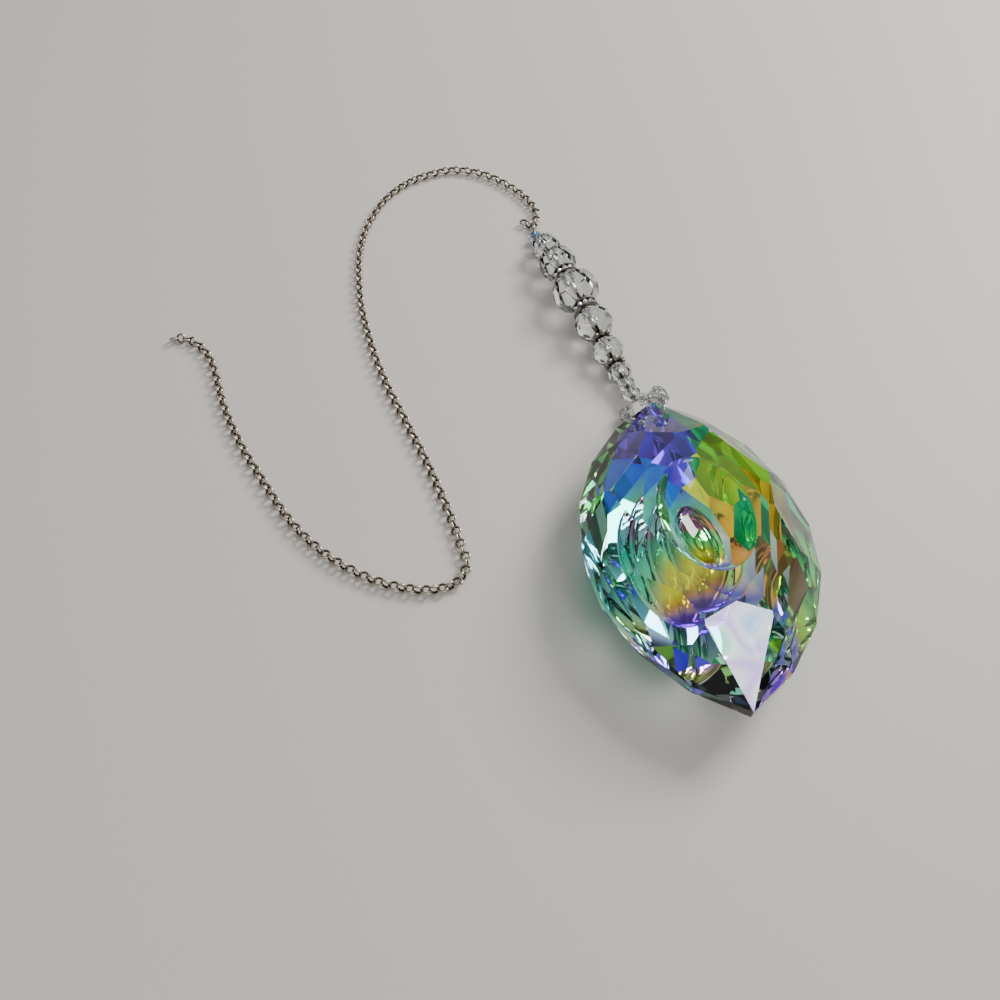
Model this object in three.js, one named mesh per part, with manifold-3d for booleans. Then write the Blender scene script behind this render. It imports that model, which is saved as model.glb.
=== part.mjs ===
// A crystal suncatcher laid on a table: a big almond-shaped cut crystal, a strand of clear beads
// on a thin wire that loops through the crystal's drilled hole, and a fine rolo chain to hang it by.
// Millimetres, +Z up, the table is z = 0. The origin is the middle of the whole layout, on the table.

import * as THREE from "three";
import { ConvexGeometry } from "three/addons/geometries/ConvexGeometry.js";
import { mergeVertices } from "three/addons/utils/BufferGeometryUtils.js";
import Module from "manifold-3d";

const wasm = await Module();
wasm.setup();

// ---------------------------------------------------------------- driving dimensions

const GAP = 0.3; // clear space kept between neighbouring pieces

// The crystal: two equal arcs make the almond outline.
const CRYSTAL_LENGTH = 76;
const CRYSTAL_WIDTH = 48;
const CRYSTAL_THICKNESS = 22;
const CRYSTAL_PLACE = new THREE.Vector3(51.5, -53.1, CRYSTAL_THICKNESS / 2);
const CRYSTAL_HEADING = THREE.MathUtils.degToRad(-81.7); // from the drilled end to the free tip
const GIRDLE_HEIGHT = 2.4; // the upright band around the outline
const CHORDS_A_SIDE = 8; // straight girdle facets along each arc
const TIP_SLOPE = 29; // degrees of the kite facet at each end
const MAIN_SLOPES = { middle: 43, end: 41 };
const STAR_SLOPE = 25;
const STAR_START = 6.5; // how far in from the outline a star facet begins
const END_STAR_SLOPE = 12; // the two stars beside each kite, which bring the table to a point
const BREAK_SLOPES = { middle: 54, end: 40 };
const DISH = { length: 27.5, width: 19, depth: 6 }; // the oval dish in the front and back tables
const DRILL = { diameter: 2.4, fromTip: 8.5 };

// The bead strand, in order from the chain to the loop. A gap before a piece shows bare wire.
const STRAND_START = new THREE.Vector2(21.3, 56.6);
const STRAND_HEADING = THREE.MathUtils.degToRad(-70.2);
const CLEAR = 0xdfe6e6;
const SILVER = 0x5d5a55;
const STRAND = [
  { name: "aurora_bead", kind: "bead", diameter: 3.2, length: 2.8, sides: 6, rows: 1, color: 0xa9c6ee },
  { name: "daisy_spacer_top", kind: "daisy", diameter: 4.2, length: 1.1, before: 0.8 },
  { name: "bead_1_round_8mm", kind: "bead", diameter: 8, length: 7.4, sides: 8, rows: 2 },
  { name: "bead_2_round_10mm", kind: "bead", diameter: 10, length: 9, sides: 8, rows: 2 },
  { name: "rhinestone_rondelle_upper", kind: "rondelle", diameter: 7.2, length: 2.1 },
  { name: "bead_3_round_12mm", kind: "bead", diameter: 12, length: 11, sides: 8, rows: 2 },
  { name: "rhinestone_rondelle_lower", kind: "rondelle", diameter: 7.2, length: 2.1 },
  { name: "bead_4_oval_10mm", kind: "bead", diameter: 10, length: 8.2, sides: 8, rows: 2 },
  { name: "daisy_spacer_middle", kind: "daisy", diameter: 6, length: 1.3 },
  { name: "bead_5_oval_8mm", kind: "bead", diameter: 8, length: 6.6, sides: 8, rows: 2 },
  { name: "daisy_spacer_lower", kind: "daisy", diameter: 6, length: 1.3 },
  { name: "bead_6_oval_6mm", kind: "bead", diameter: 6, length: 4.4, sides: 8, rows: 1 },
  { name: "bead_7_small", kind: "bead", diameter: 4.6, length: 3.2, sides: 6, rows: 1 },
  { name: "bead_8_small", kind: "bead", diameter: 4.6, length: 3.2, sides: 6, rows: 1 },
];
const BEAD_HOLE = 1.5;
const SPACER_HOLE = 1.5;
// Height of the wire above the table at stations along the strand: it rises over the biggest bead.
const STRAND_HEIGHTS = [
  [-1.6, 1.7], [0, 2.1], [8, 3.9], [17, 5], [29.5, 5.7], [42, 4.9], [51, 3.9], [59, 3], [67, 2.8],
];

// The loop of small beads that carries the crystal: one branch over the tip, one under it.
const LOOP_BEAD = { diameter: 3.8, length: 3.4, sides: 6, rows: 1 };
const LOOP_HOLE = 1.6;
const LOOP_BEADS_OVER = 4;
const LOOP_BEADS_UNDER = 3;
const WIRE_DIAMETER = 0.6;
const WIRE_EYE = { place: [20.75, 60.5, 1.6], diameter: 2.5 }; // the wire's end ring, on edge
const LOOP_OVER = [
  [44.1, -6.9, 3.0], [45.6, -7.9, 4.6], [46.3, -10.3, 6.6], [46.6, -12.6, 9.6],
  [46.9, -14.1, 13.2], [47.0, -16.6, 15.9], [47.0, -20.2, 17.5], [47.1, -22.5, 18.1],
];
const LOOP_UNDER = [
  [46.6, -21.6, 2.8], [45.2, -18.9, 2.2], [43.2, -15.6, 2.1], [41.9, -12.4, 2.1],
  [41.9, -9.5, 2.3], [42.8, -7.7, 2.7],
];

// The rolo chain: round links of round wire, each turned a quarter against the next.
const LINK_DIAMETER = 2.72;
const LINK_WIRE = 0.5;
const LINK_PITCH = 1.74;
const LINK_BITE = 0.04; // how deep touching links press into each other
const FASTENED_LINK_HEADING = 74; // degrees: how the link that the wire holds is turned
const SPARE_HEADINGS = [152, 144]; // degrees: the spare links folded back past that link
// The chain's route on the table, from the strand to the free end.
const CHAIN_ROUTE = [
  [20.85, 62.1], [21.7, 68.1], [19.9, 73.3], [16.4, 78.6], [12.5, 82.6], [7.9, 86.2], [1.8, 88.9],
  [-4.4, 89.5], [-10.4, 87.4], [-16.2, 83.8], [-20.4, 79.4], [-23.7, 74.2], [-26.1, 68.1],
  [-27.9, 61.0], [-28.6, 53.2], [-28.4, 45.3], [-26.4, 29.8], [-22.8, 15.8], [-17.9, 1.6],
  [-11.2, -13.2], [-5.4, -26.2], [-0.6, -38.6], [2.4, -47.6], [3.8, -52.7], [2.4, -56.6],
  [-2.8, -58.9], [-12.4, -57.8], [-21.3, -53.9], [-29.0, -48.4], [-36.2, -40.8], [-43.6, -30.0],
  [-50.9, -18.6], [-56.9, -6.7], [-62.0, 6.6], [-64.7, 11.4], [-68.2, 14.9], [-71.5, 16.4],
  [-74.0, 16.3],
];
// How far the chain is rolled about its own line at stations along it, in degrees: at 0 every
// second link lies flat, at 45 the links lean on the table in turn, left and right.
const CHAIN_ROLLS = [
  [0, 0], [58, 6], [78, 45], [178, 45], [200, 8], [236, 8], [262, 45], [330, 38],
];

// ---------------------------------------------------------------- solids

// The solid of a closed three.js geometry, and the geometry of a solid.
function solidOf(geometry) {
  const bare = new THREE.BufferGeometry();
  const whole = geometry.index ? geometry.toNonIndexed() : geometry;
  bare.setAttribute("position", whole.getAttribute("position"));
  const merged = mergeVertices(bare, 1e-4);
  return new wasm.Manifold(
    new wasm.Mesh({
      numProp: 3,
      vertProperties: merged.attributes.position.array,
      triVerts: new Uint32Array(merged.index.array),
    }),
  );
}

function geometryOf(solid) {
  const mesh = solid.getMesh();
  const geometry = new THREE.BufferGeometry();
  geometry.setAttribute("position", new THREE.BufferAttribute(mesh.vertProperties, 3));
  geometry.setIndex(new THREE.BufferAttribute(mesh.triVerts, 1));
  return geometry;
}

// Cuts away everything beyond a plane, given by its unit normal and its distance from the origin.
function cutByPlane(solid, normal, distance) {
  const reach = 200;
  const block = new THREE.BoxGeometry(reach, reach, reach);
  block.translate(0, 0, distance + reach / 2);
  const turn = new THREE.Quaternion().setFromUnitVectors(new THREE.Vector3(0, 0, 1), normal);
  block.applyQuaternion(turn);
  return solid.subtract(solidOf(block));
}

// A round rod along Z, centred on the origin.
function rodAlongZ(diameter, length, sides) {
  const rod = new THREE.CylinderGeometry(diameter / 2, diameter / 2, length, sides);
  return rod.rotateX(Math.PI / 2);
}

// A value read from a list of [station, value] pairs, on the straight line between neighbours.
function valueAlong(stations, at) {
  const ahead = stations.findIndex(([station]) => station >= at);
  const next = ahead < 0 ? stations.length - 1 : Math.max(1, ahead);
  const [start, low] = stations[next - 1];
  const [end, high] = stations[next];
  return THREE.MathUtils.mapLinear(at, start, end, low, high);
}

// ---------------------------------------------------------------- the crystal

const HALF_LENGTH = CRYSTAL_LENGTH / 2;
const HALF_WIDTH = CRYSTAL_WIDTH / 2;
const HALF_THICKNESS = CRYSTAL_THICKNESS / 2;
const ARC_RADIUS = (HALF_LENGTH ** 2 + HALF_WIDTH ** 2) / CRYSTAL_WIDTH;
const ARC_SETBACK = ARC_RADIUS - HALF_WIDTH; // from the middle line to each arc's centre
const ARC_HALF_ANGLE = Math.asin(HALF_LENGTH / ARC_RADIUS);
const CHORD_ANGLE = (2 * ARC_HALF_ANGLE) / CHORDS_A_SIDE;
const CHORD_RADIUS = ARC_RADIUS * Math.cos(CHORD_ANGLE / 2);
const KITE_RISE = (CRYSTAL_THICKNESS - GIRDLE_HEIGHT) / 2;
const TABLE_REACH = HALF_LENGTH - KITE_RISE / Math.tan(THREE.MathUtils.degToRad(TIP_SLOPE));

// One facet plane: it faces `angle` around its arc, leans by `slope` degrees from level, and
// passes through the point `radius` out from the arc's centre at `height` above the middle plane.
function facetPlane(side, angle, slope, radius, height) {
  const lean = THREE.MathUtils.degToRad(slope);
  const normal = new THREE.Vector3(
    Math.sin(angle) * Math.sin(lean),
    side * Math.cos(angle) * Math.sin(lean),
    Math.cos(lean),
  );
  const out = radius - ARC_SETBACK * Math.cos(angle);
  return { normal, distance: Math.sin(lean) * out + Math.cos(lean) * height };
}

// A slope that goes from its value at the middle of a side to its value at the ends.
function slopeAt(slopes, angle) {
  return THREE.MathUtils.lerp(slopes.middle, slopes.end, (angle / ARC_HALF_ANGLE) ** 2);
}

// A star beside a kite leans gently away from the point where the kite reaches the table.
function endStarPlane(side, angle) {
  const lean = THREE.MathUtils.degToRad(END_STAR_SLOPE);
  const normal = new THREE.Vector3(
    Math.sin(angle) * Math.sin(lean),
    side * Math.cos(angle) * Math.sin(lean),
    Math.cos(lean),
  );
  const tableTip = new THREE.Vector3(Math.sign(angle) * TABLE_REACH, 0, HALF_THICKNESS);
  return { normal, distance: normal.dot(tableTip) };
}

// Every facet above the girdle, as planes: breaks on the chords, mains on the even corners,
// stars above the odd corners and one kite at each end.
function crownPlanes() {
  const edge = GIRDLE_HEIGHT / 2;
  const planes = [];
  for (const side of [1, -1]) {
    for (let i = 0; i < CHORDS_A_SIDE; i++) {
      const angle = (i + 0.5) * CHORD_ANGLE - ARC_HALF_ANGLE;
      planes.push(facetPlane(side, angle, slopeAt(BREAK_SLOPES, angle), CHORD_RADIUS, edge));
    }
    for (let corner = 1; corner < CHORDS_A_SIDE; corner++) {
      const angle = corner * CHORD_ANGLE - ARC_HALF_ANGLE;
      const main = slopeAt(MAIN_SLOPES, angle);
      if (corner % 2 === 0) {
        planes.push(facetPlane(side, angle, main, ARC_RADIUS, edge));
      } else if (corner === 1 || corner === CHORDS_A_SIDE - 1) {
        planes.push(endStarPlane(side, angle));
      } else {
        const rise = STAR_START * Math.tan(THREE.MathUtils.degToRad(main)) + 1;
        planes.push(facetPlane(side, angle, STAR_SLOPE, ARC_RADIUS - STAR_START, edge + rise));
      }
    }
  }
  const lean = THREE.MathUtils.degToRad(TIP_SLOPE);
  for (const end of [1, -1]) {
    planes.push({
      normal: new THREE.Vector3(end * Math.sin(lean), 0, Math.cos(lean)),
      distance: Math.sin(lean) * HALF_LENGTH + Math.cos(lean) * edge,
    });
  }
  return planes;
}

// The ellipsoid whose cap, cut from a level face, is an oval dish of the given size.
function dishCutter({ length, width, depth }) {
  const share = 0.82; // how deep the face cuts into the ellipsoid, which sets how steep the rim is
  const radius = depth / (1 - share);
  const spread = Math.sqrt(1 - share ** 2);
  const ball = new THREE.SphereGeometry(1, 24, 28);
  ball.rotateX(Math.PI / 2);
  ball.scale(length / 2 / spread, width / 2 / spread, radius);
  return ball.translate(0, 0, radius * share);
}

function crystalGeometry() {
  const block = new THREE.BoxGeometry(CRYSTAL_LENGTH + 4, CRYSTAL_WIDTH + 4, CRYSTAL_THICKNESS);
  let crystal = solidOf(block);
  for (const side of [1, -1]) {
    for (let i = 0; i < CHORDS_A_SIDE; i++) {
      const angle = (i + 0.5) * CHORD_ANGLE - ARC_HALF_ANGLE;
      const { normal, distance } = facetPlane(side, angle, 90, CHORD_RADIUS, 0);
      crystal = cutByPlane(crystal, normal, distance);
    }
  }
  for (const { normal, distance } of crownPlanes()) {
    crystal = cutByPlane(crystal, normal, distance);
    crystal = cutByPlane(crystal, new THREE.Vector3(normal.x, normal.y, -normal.z), distance);
  }
  const eye = dishCutter(DISH).translate(0, 0, HALF_THICKNESS);
  const back = dishCutter(DISH).rotateX(Math.PI).translate(0, 0, -HALF_THICKNESS);
  const drill = rodAlongZ(DRILL.diameter, 2 * CRYSTAL_THICKNESS, 12);
  drill.translate(DRILL.fromTip - HALF_LENGTH, 0, 0);
  for (const cutter of [eye, back, drill]) crystal = crystal.subtract(solidOf(cutter));
  return geometryOf(crystal);
}

// ---------------------------------------------------------------- beads and spacers

// A cut bead along Z: rings of corners on an ellipsoid, each ring turned half a facet against
// the next, with a flat around each end of the hole.
function beadGeometry({ diameter, length, sides, rows }, hole) {
  const endLatitude = THREE.MathUtils.degToRad(rows === 1 ? 58 : 68);
  const corners = [];
  for (let row = -rows; row <= rows; row++) {
    const latitude = (endLatitude * row) / rows;
    const radius = (diameter / 2) * Math.cos(latitude);
    const z = ((length / 2) * Math.sin(latitude)) / Math.sin(endLatitude);
    for (let i = 0; i < sides; i++) {
      const turn = ((i + (row % 2 === 0 ? 0 : 0.5)) * 2 * Math.PI) / sides;
      corners.push(new THREE.Vector3(radius * Math.cos(turn), radius * Math.sin(turn), z));
    }
  }
  const bead = solidOf(new ConvexGeometry(corners));
  return geometryOf(bead.subtract(solidOf(rodAlongZ(hole, 2 * length, 6))));
}

// A daisy spacer along Z: a little wheel of round petals with a hole.
function daisyGeometry({ diameter, length }) {
  const petals = 8;
  const pointsAPetal = 3;
  const outline = [];
  for (let i = 0; i < petals * pointsAPetal; i++) {
    const turn = (i * 2 * Math.PI) / (petals * pointsAPetal);
    const bulge = Math.abs(Math.cos((turn * petals) / 2));
    const radius = (diameter / 2) * (0.74 + 0.26 * bulge);
    outline.push(new THREE.Vector2(radius * Math.cos(turn), radius * Math.sin(turn)));
  }
  const wheel = new THREE.ExtrudeGeometry(new THREE.Shape(outline), {
    depth: length,
    bevelEnabled: false,
  });
  wheel.translate(0, 0, -length / 2);
  return geometryOf(solidOf(wheel).subtract(solidOf(rodAlongZ(SPACER_HOLE, 2 * length, 8))));
}

// A rhinestone rondelle along Z: two thin flanges with a sunk band between them for the stones.
function rondelleGeometry({ diameter, length }) {
  const flange = 0.45;
  const band = diameter / 2 - 0.7;
  const profile = [
    [SPACER_HOLE / 2, -length / 2],
    [diameter / 2, -length / 2],
    [diameter / 2, flange - length / 2],
    [band, flange - length / 2],
    [band, length / 2 - flange],
    [diameter / 2, length / 2 - flange],
    [diameter / 2, length / 2],
    [SPACER_HOLE / 2, length / 2],
    [SPACER_HOLE / 2, -length / 2],
  ].map(([radius, z]) => new THREE.Vector2(radius, z));
  return new THREE.LatheGeometry(profile, 12).rotateX(Math.PI / 2);
}

// ---------------------------------------------------------------- the wire

function tubeGeometry(curve, diameter, sides, steps) {
  const ring = new THREE.Shape();
  for (let i = 0; i < sides; i++) {
    const turn = (i * 2 * Math.PI) / sides;
    const x = (diameter / 2) * Math.cos(turn);
    const y = (diameter / 2) * Math.sin(turn);
    if (i === 0) ring.moveTo(x, y);
    else ring.lineTo(x, y);
  }
  return new THREE.ExtrudeGeometry(ring, { extrudePath: curve, steps, bevelEnabled: false });
}

const STRAND_DIRECTION = new THREE.Vector2(Math.cos(STRAND_HEADING), Math.sin(STRAND_HEADING));

// The wire's place at a station along the strand.
function strandPoint(station) {
  const plan = STRAND_START.clone().addScaledVector(STRAND_DIRECTION, station);
  return new THREE.Vector3(plan.x, plan.y, valueAlong(STRAND_HEIGHTS, station));
}

// Stations of the strand's pieces: each starts a small gap after the one before it.
function strandStations() {
  const stations = [];
  let end = -STRAND[0].length / 2 - GAP;
  for (const piece of STRAND) {
    const start = end + GAP + (piece.before ?? 0);
    stations.push(start + piece.length / 2);
    end = start + piece.length;
  }
  return stations;
}

const DRILL_PLACE = new THREE.Vector3(DRILL.fromTip - HALF_LENGTH, 0, 0)
  .applyAxisAngle(new THREE.Vector3(0, 0, 1), CRYSTAL_HEADING)
  .add(CRYSTAL_PLACE);

function curveThrough(points) {
  const places = points.map((p) => (p.isVector3 ? p : new THREE.Vector3(...p)));
  return new THREE.CatmullRomCurve3(places, false, "centripetal");
}

// Half-way points of the loop: straight down through the drilled hole.
function drillPoint(z) {
  return new THREE.Vector3(DRILL_PLACE.x, DRILL_PLACE.y, z);
}

const OVER_CURVE = curveThrough([...LOOP_OVER, drillPoint(16), drillPoint(11)]);
const UNDER_CURVE = curveThrough([drillPoint(11), drillPoint(5.4), ...LOOP_UNDER, LOOP_OVER[0]]);

function wireGeometry() {
  const [eyeX, eyeY, eyeZ] = WIRE_EYE.place;
  const eye = new THREE.TorusGeometry(WIRE_EYE.diameter / 2, WIRE_DIAMETER / 2, 5, 8);
  eye.rotateY(Math.PI / 2).translate(eyeX, eyeY, eyeZ);
  const stations = STRAND_HEIGHTS.map(([station]) => station);
  const stem = curveThrough([
    [eyeX, eyeY - WIRE_EYE.diameter / 2, eyeZ],
    ...stations.map(strandPoint),
    LOOP_OVER[0],
  ]);
  let wire = solidOf(eye);
  for (const [curve, steps] of [[stem, 18], [OVER_CURVE, 18], [UNDER_CURVE, 16]]) {
    wire = wire.add(solidOf(tubeGeometry(curve, WIRE_DIAMETER, 5, steps)));
  }
  return geometryOf(wire);
}

// ---------------------------------------------------------------- the chain

// Places along a curve, each exactly one pitch from the last in a straight line.
function marchAlong(curve, pitch) {
  const walk = curve.getSpacedPoints(30000);
  const places = [walk[0]];
  for (const point of walk) {
    if (point.distanceTo(places.at(-1)) >= pitch) places.push(point);
  }
  return places;
}

// One link around `place`, its line along `heading`, rolled about that line by `roll` degrees.
// It is a four-sided ring of three-sided wire, with the wire's ridge inwards, where links touch.
function linkSolid(place, heading, roll) {
  const toCorner = Math.SQRT2; // a ring's corners stand further out than the middles of its sides
  const inner = (LINK_PITCH - LINK_BITE) / 2;
  const outer = LINK_DIAMETER / 2 - LINK_WIRE / 4;
  const profile = [
    [inner, 0],
    [outer, -LINK_WIRE / 2],
    [outer, LINK_WIRE / 2],
    [inner, 0],
  ].map(([radius, z]) => new THREE.Vector2(radius * toCorner, z));
  const ring = new THREE.LatheGeometry(profile, 4);
  ring.rotateY(Math.PI / 4).rotateX(Math.PI / 2);
  ring.rotateX(THREE.MathUtils.degToRad(roll));
  ring.rotateZ(heading);
  ring.translate(place.x, place.y, place.z);
  return solidOf(ring);
}

// Height of a link's centre so that the chain rests on the table when rolled by `roll` degrees.
function linkHeight(roll) {
  const lean = Math.cos(THREE.MathUtils.degToRad(roll));
  return LINK_WIRE / 2 + ((LINK_DIAMETER - LINK_WIRE) / 2) * lean + 0.02;
}

// A place one pitch away along a heading in degrees.
function stepFrom(place, heading) {
  const turn = THREE.MathUtils.degToRad(heading);
  const step = new THREE.Vector3(Math.cos(turn), Math.sin(turn), 0);
  return place.clone().addScaledVector(step, LINK_PITCH);
}

function chainGeometry() {
  const route = CHAIN_ROUTE.map(([x, y]) => new THREE.Vector3(x, y, 0));
  const places = marchAlong(curveThrough(route), LINK_PITCH);
  const links = places.map((place, i) => {
    const roll = valueAlong(CHAIN_ROLLS, i * LINK_PITCH);
    const before = places[Math.max(i - 1, 0)];
    const after = places[Math.min(i + 1, places.length - 1)];
    const heading = Math.atan2(after.y - before.y, after.x - before.x);
    const centre = new THREE.Vector3(place.x, place.y, linkHeight(roll));
    return { centre, heading, roll: i % 2 === 0 ? roll : roll - 90 };
  });
  links[0].heading = THREE.MathUtils.degToRad(FASTENED_LINK_HEADING);
  let centre = links[0].centre;
  SPARE_HEADINGS.forEach((heading, i) => {
    centre = stepFrom(centre, heading);
    const roll = i % 2 === 0 ? 90 : 0;
    links.unshift({ centre, heading: THREE.MathUtils.degToRad(heading), roll });
  });
  return geometryOf(
    links
      .map(({ centre, heading, roll }) => linkSolid(centre, heading, roll))
      .reduce((chain, link) => chain.add(link)),
  );
}

// ---------------------------------------------------------------- the group

const suncatcher = new THREE.Group();

function addMesh(name, geometry, color, roughness, metalness, opacity = 1) {
  const material = new THREE.MeshStandardMaterial({ color, roughness, metalness, opacity });
  material.transparent = opacity < 1;
  const mesh = new THREE.Mesh(geometry, material);
  mesh.name = name;
  suncatcher.add(mesh);
  return mesh;
}

// Turns a piece made along Z so that its hole follows the wire.
function threadOn(mesh, place, direction) {
  mesh.position.copy(place);
  mesh.quaternion.setFromUnitVectors(new THREE.Vector3(0, 0, 1), direction);
}

const crystal = addMesh("cut_crystal", crystalGeometry(), 0xcfe3d6, 0.03, 0, 0.45);
crystal.position.copy(CRYSTAL_PLACE);
crystal.rotation.z = CRYSTAL_HEADING;

strandStations().forEach((station, i) => {
  const piece = STRAND[i];
  const here = strandPoint(station);
  const ahead = strandPoint(station + piece.length / 2);
  const behind = strandPoint(station - piece.length / 2);
  const direction = ahead.sub(behind).normalize();
  let mesh;
  if (piece.kind === "bead") {
    mesh = addMesh(piece.name, beadGeometry(piece, BEAD_HOLE), piece.color ?? CLEAR, 0.04, 0, 0.5);
  } else if (piece.kind === "daisy") {
    mesh = addMesh(piece.name, daisyGeometry(piece), SILVER, 0.35, 1);
  } else {
    mesh = addMesh(piece.name, rondelleGeometry(piece), SILVER, 0.3, 1);
  }
  threadOn(mesh, here, direction);
});

// Loop beads sit at even steps along their branch, clear of the fork and of the crystal.
function threadLoop(curve, count, from, to, label) {
  for (let i = 0; i < count; i++) {
    const share = THREE.MathUtils.lerp(from, to, count === 1 ? 0.5 : i / (count - 1));
    const name = `loop_bead_${label}_${i + 1}`;
    const bead = addMesh(name, beadGeometry(LOOP_BEAD, LOOP_HOLE), CLEAR, 0.04, 0, 0.5);
    threadOn(bead, curve.getPointAt(share), curve.getTangentAt(share));
  }
}
threadLoop(OVER_CURVE, LOOP_BEADS_OVER, 0.13, 0.61, "over");
threadLoop(UNDER_CURVE, LOOP_BEADS_UNDER, 0.5, 0.82, "under");

addMesh("beading_wire", wireGeometry(), 0xb9b7b2, 0.3, 1);
addMesh("rolo_chain", chainGeometry(), 0x9a9289, 0.3, 1);

export default suncatcher;
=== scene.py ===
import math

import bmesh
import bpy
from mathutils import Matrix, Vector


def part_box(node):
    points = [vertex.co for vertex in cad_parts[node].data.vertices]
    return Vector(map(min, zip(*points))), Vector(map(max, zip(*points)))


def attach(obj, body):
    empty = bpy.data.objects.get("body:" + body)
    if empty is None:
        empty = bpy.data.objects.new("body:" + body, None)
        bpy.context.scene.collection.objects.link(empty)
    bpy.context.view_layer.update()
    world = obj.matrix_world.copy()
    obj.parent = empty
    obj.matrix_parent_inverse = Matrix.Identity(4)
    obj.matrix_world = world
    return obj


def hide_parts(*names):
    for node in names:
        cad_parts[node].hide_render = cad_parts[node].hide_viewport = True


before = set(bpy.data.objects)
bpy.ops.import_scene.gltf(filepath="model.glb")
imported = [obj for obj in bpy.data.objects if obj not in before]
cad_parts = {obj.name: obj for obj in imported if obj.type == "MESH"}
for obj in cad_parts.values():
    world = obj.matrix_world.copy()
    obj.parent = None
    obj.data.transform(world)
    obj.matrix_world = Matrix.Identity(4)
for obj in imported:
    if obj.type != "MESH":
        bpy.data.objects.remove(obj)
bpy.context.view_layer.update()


# %% [markdown]
# # A crystal suncatcher
#
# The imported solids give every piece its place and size. This lesson gives the pieces their looks:
# a big almond prism with an aurora coating, faceted glass beads, small metal spacers, a wire and
# a rolo chain. Lengths are written in millimetres and turned into metres once, at the end of each
# piece, because facets a few tenths of a millimetre wide are easier to read that way.

MM = 0.001


# %% [markdown]
# ## Camera
#
# The piece lies on a table and is seen from its near side, looking down at a bit over 50 degrees.

# %% Camera
camera_data = bpy.data.cameras.new("camera")
camera_data.sensor_width = 36
camera_data.lens = 32.4
camera = bpy.data.objects.new("camera", camera_data)
camera.location = Vector((11.0, -154.6, 167.0)) * MM
camera.rotation_euler = (math.radians(35.7), 0, 0)
bpy.context.scene.collection.objects.link(camera)
bpy.context.scene.camera = camera


# %% [markdown]
# ## Small helpers
#
# Colours are written as the hex values of a paint chart, which are sRGB, and the shader wants
# linear light, so one function turns them. Another adds a shader node with its settings and links.

# %% Colours and nodes
def linear(hex_colour):
    channels = [int(hex_colour[i:i + 2], 16) / 255 for i in (1, 3, 5)]
    return [c / 12.92 if c <= 0.04045 else ((c + 0.055) / 1.055) ** 2.4 for c in channels]


def add_node(tree, kind, inputs=None, **settings):
    """Adds a node. Settings are its options; inputs are plain values, or sockets to link from."""
    node = tree.nodes.new(kind)
    for name, value in settings.items():
        setattr(node, name, value)
    for name, value in (inputs or {}).items():
        if isinstance(value, bpy.types.NodeSocket):
            tree.links.new(value, node.inputs[name])
        else:
            node.inputs[name].default_value = value
    return node


def new_material(name, **inputs):
    """A material with one Principled shader. Underscores in input names stand for spaces."""
    material = bpy.data.materials.new(name)
    material.use_nodes = True
    tree = material.node_tree
    shader = tree.nodes["Principled BSDF"]
    for key, value in inputs.items():
        shader.inputs[key.replace("_", " ")].default_value = value
    return material, tree, shader


def set_ramp(ramp, stops):
    """Fills a colour ramp from (position, hex colour) pairs."""
    elements = ramp.color_ramp.elements
    while len(elements) < len(stops):
        elements.new(1)
    for element, (position, colour) in zip(elements, stops):
        element.position = position
        element.color = (*linear(colour), 1)


# %% Finishing a piece
def finish_piece(name, bm, materials, replaced=(), place=None):
    """Turns millimetres into metres at the piece's place, and makes the object that rides along."""
    bmesh.ops.transform(bm, matrix=(place or Matrix()), verts=bm.verts)
    bmesh.ops.scale(bm, vec=(MM, MM, MM), verts=bm.verts)
    mesh = bpy.data.meshes.new(name)
    bm.to_mesh(mesh)
    bm.free()
    for material in materials:
        mesh.materials.append(material)
    piece = bpy.data.objects.new(name, mesh)
    bpy.context.scene.collection.objects.link(piece)
    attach(piece, "root")
    if replaced:
        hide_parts(*replaced)
    return piece


def middle_of(node):
    """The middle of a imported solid, in millimetres."""
    low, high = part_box(node)
    return (low + high) / 2 / MM


# %% [markdown]
# ## The glass
#
# The prism is lead crystal, ground flat and polished facet by facet, so it is almost perfectly
# smooth and bends light strongly (IOR 1.56 to 1.58). Its back carries an aurora coating: thin
# metal oxide layers, fired on in vacuum, that mirror one colour and let the rest pass. Each facet
# gets its own colour, because the layers look different at each tilt. So the back is mostly a
# coloured mirror with a little glass, and its colour is an attribute painted onto the facets in
# code. One big tip facet has a thin coating in front, which looks like mother of pearl.

# %% Glass and coating
def polished_glass(name, tint, ior, film=0):
    material, tree, shader = new_material(
        name, Transmission_Weight=1.0, IOR=ior, Base_Color=(*linear(tint), 1)
    )
    if film:
        shader.inputs["Thin Film Thickness"].default_value = film
        shader.inputs["Thin Film IOR"].default_value = 1.9
    place = add_node(tree, "ShaderNodeTexCoord").outputs["Object"]
    wipe = add_node(tree, "ShaderNodeTexNoise", {"Vector": place, "Scale": 90.0, "Detail": 3.0})
    haze = add_node(
        tree,
        "ShaderNodeMapRange",
        {
            "Value": wipe.outputs["Fac"],
            "From Min": 0.35, "From Max": 0.8, "To Min": 0.0, "To Max": 0.03,
        },
    )
    tree.links.new(haze.outputs["Result"], shader.inputs["Roughness"])
    return material


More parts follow.
